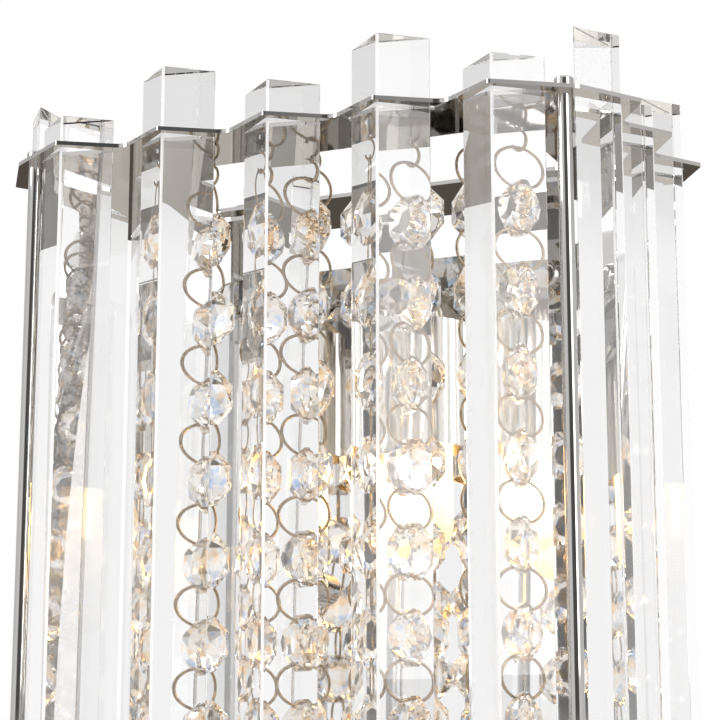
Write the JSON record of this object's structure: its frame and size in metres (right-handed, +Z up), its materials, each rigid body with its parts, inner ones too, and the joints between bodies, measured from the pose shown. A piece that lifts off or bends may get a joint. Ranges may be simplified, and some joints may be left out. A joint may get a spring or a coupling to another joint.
{
  "type": "crystal wall sconce",
  "caption": "Wall lamp with toothed mirror-polished ring plates, upright prism glass bars and hanging strands of faceted crystal beads in front of push-fit bulbs.",
  "frame": {"origin": "on the wall plane at the middle of the wall bar's back face, halfway between its two screw slots", "axes": "+Z up, +Y into the wall, X across the lamp; the front faces -Y"},
  "size_m": [0.1676, 0.0959, 0.236],
  "materials": {
    "polished_chrome": "mirror polished plate",
    "zinc_steel": "zinc plated",
    "clear_glass": "clear polished crystal glass",
    "bead_crystal": "faceted clear crystal on bronze wire",
    "bulb_glass": "clear quartz glass",
    "tungsten": "coiled wire",
    "white_ceramic": "unglazed white",
    "white_plastic": "moulded"
  },
  "bodies": {
    "frame": {"wall_bar": "zinc_steel", "wall_studs": "zinc_steel", "back_plate": "polished_chrome", "terminal_block": "white_plastic", "top_plate": "polished_chrome", "bottom_plate": "polished_chrome", "plate_screws": "polished_chrome", "bracket_screws": "polished_chrome", "lamp_arm": "polished_chrome", "flange_screws": "polished_chrome", "lamp_crossbar": "polished_chrome", "crossbar_end_caps": "polished_chrome", "nipple_nuts": "zinc_steel", "top_brackets": "polished_chrome", "bottom_brackets": "polished_chrome", "glass_bar_front_1": "clear_glass", "glass_bar_front_2": "clear_glass", "glass_bar_front_3": "clear_glass", "glass_bar_front_4": "clear_glass", "glass_bar_front_5": "clear_glass", "glass_bar_right_1": "clear_glass", "glass_bar_right_2": "clear_glass", "glass_bar_right_3": "clear_glass", "glass_bar_left_1": "clear_glass", "glass_bar_left_2": "clear_glass", "glass_bar_left_3": "clear_glass", "corner_rod_left": "polished_chrome", "socket_nipple_left": "zinc_steel", "socket_cone_left": "polished_chrome", "socket_sleeve_left": "polished_chrome", "lamp_socket_left": "white_ceramic", "corner_rod_right": "polished_chrome", "socket_nipple_right": "zinc_steel", "socket_cone_right": "polished_chrome", "socket_sleeve_right": "polished_chrome", "lamp_socket_right": "white_ceramic"},
    "strand_1": {"bead_strand_1": "bead_crystal"},
    "strand_2": {"bead_strand_2": "bead_crystal"},
    "strand_3": {"bead_strand_3": "bead_crystal"},
    "strand_4": {"bead_strand_4": "bead_crystal"},
    "strand_5": {"bead_strand_5": "bead_crystal"},
    "strand_6": {"bead_strand_6": "bead_crystal"},
    "strand_7": {"bead_strand_7": "bead_crystal"},
    "lamp_left": {"bulb_left": "bulb_glass", "filament_left": "tungsten"},
    "lamp_right": {"bulb_right": "bulb_glass", "filament_right": "tungsten"},
    "rod_cap_top_left": {"rod_cap_top_left": "polished_chrome"},
    "rod_cap_bottom_left": {"rod_cap_bottom_left": "polished_chrome"},
    "wall_nut_left": {"wall_nut_left": "polished_chrome"},
    "rod_cap_top_right": {"rod_cap_top_right": "polished_chrome"},
    "rod_cap_bottom_right": {"rod_cap_bottom_right": "polished_chrome"},
    "wall_nut_right": {"wall_nut_right": "polished_chrome"}
  },
  "joints": [
    {"name": "strand_1_swing", "type": "hinge", "parent": "frame", "child": "strand_1", "pos_m": [-0.042, -0.0677, 0.1024], "axis": [1, 0, 0], "range_deg": [-3.3, 7]},
    {"name": "strand_2_swing", "type": "hinge", "parent": "frame", "child": "strand_2", "pos_m": [-0.028, -0.0677, 0.1024], "axis": [1, 0, 0], "range_deg": [-3.3, 7]},
    {"name": "strand_3_swing", "type": "hinge", "parent": "frame", "child": "strand_3", "pos_m": [-0.014, -0.0677, 0.1024], "axis": [1, 0, 0], "range_deg": [-3.3, 7]},
    {"name": "strand_4_swing", "type": "hinge", "parent": "frame", "child": "strand_4", "pos_m": [0, -0.0677, 0.1024], "axis": [1, 0, 0], "range_deg": [-3.3, 7]},
    {"name": "strand_5_swing", "type": "hinge", "parent": "frame", "child": "strand_5", "pos_m": [0.014, -0.0677, 0.1024], "axis": [1, 0, 0], "range_deg": [-3.3, 7]},
    {"name": "strand_6_swing", "type": "hinge", "parent": "frame", "child": "strand_6", "pos_m": [0.028, -0.0677, 0.1024], "axis": [1, 0, 0], "range_deg": [-3.3, 7]},
    {"name": "strand_7_swing", "type": "hinge", "parent": "frame", "child": "strand_7", "pos_m": [0.042, -0.0677, 0.1024], "axis": [1, 0, 0], "range_deg": [-3.3, 7]},
    {"name": "bulb_left_pull", "type": "slide", "parent": "frame", "child": "lamp_left", "axis": [0, 0, -1], "range_m": [0, 0.022]},
    {"name": "bulb_right_pull", "type": "slide", "parent": "frame", "child": "lamp_right", "axis": [0, 0, -1], "range_m": [0, 0.022]},
    {"name": "rod_cap_top_left_turn", "type": "hinge", "parent": "frame", "child": "rod_cap_top_left", "pos_m": [-0.06965, -0.08293, 0.10325], "axis": [0, 0, 1], "continuous": true},
    {"name": "rod_cap_bottom_left_turn", "type": "hinge", "parent": "frame", "child": "rod_cap_bottom_left", "pos_m": [-0.06965, -0.08293, -0.10325], "axis": [0, 0, 1], "continuous": true},
    {"name": "wall_nut_left_turn", "type": "hinge", "parent": "frame", "child": "wall_nut_left", "pos_m": [-0.023, -0.0153, 0], "axis": [0, 1, 0], "continuous": true},
    {"name": "rod_cap_top_right_turn", "type": "hinge", "parent": "frame", "child": "rod_cap_top_right", "pos_m": [0.06965, -0.08293, 0.10325], "axis": [0, 0, 1], "continuous": true},
    {"name": "rod_cap_bottom_right_turn", "type": "hinge", "parent": "frame", "child": "rod_cap_bottom_right", "pos_m": [0.06965, -0.08293, -0.10325], "axis": [0, 0, 1], "continuous": true},
    {"name": "wall_nut_right_turn", "type": "hinge", "parent": "frame", "child": "wall_nut_right", "pos_m": [0.023, -0.0153, 0], "axis": [0, 1, 0], "continuous": true}
  ]
}
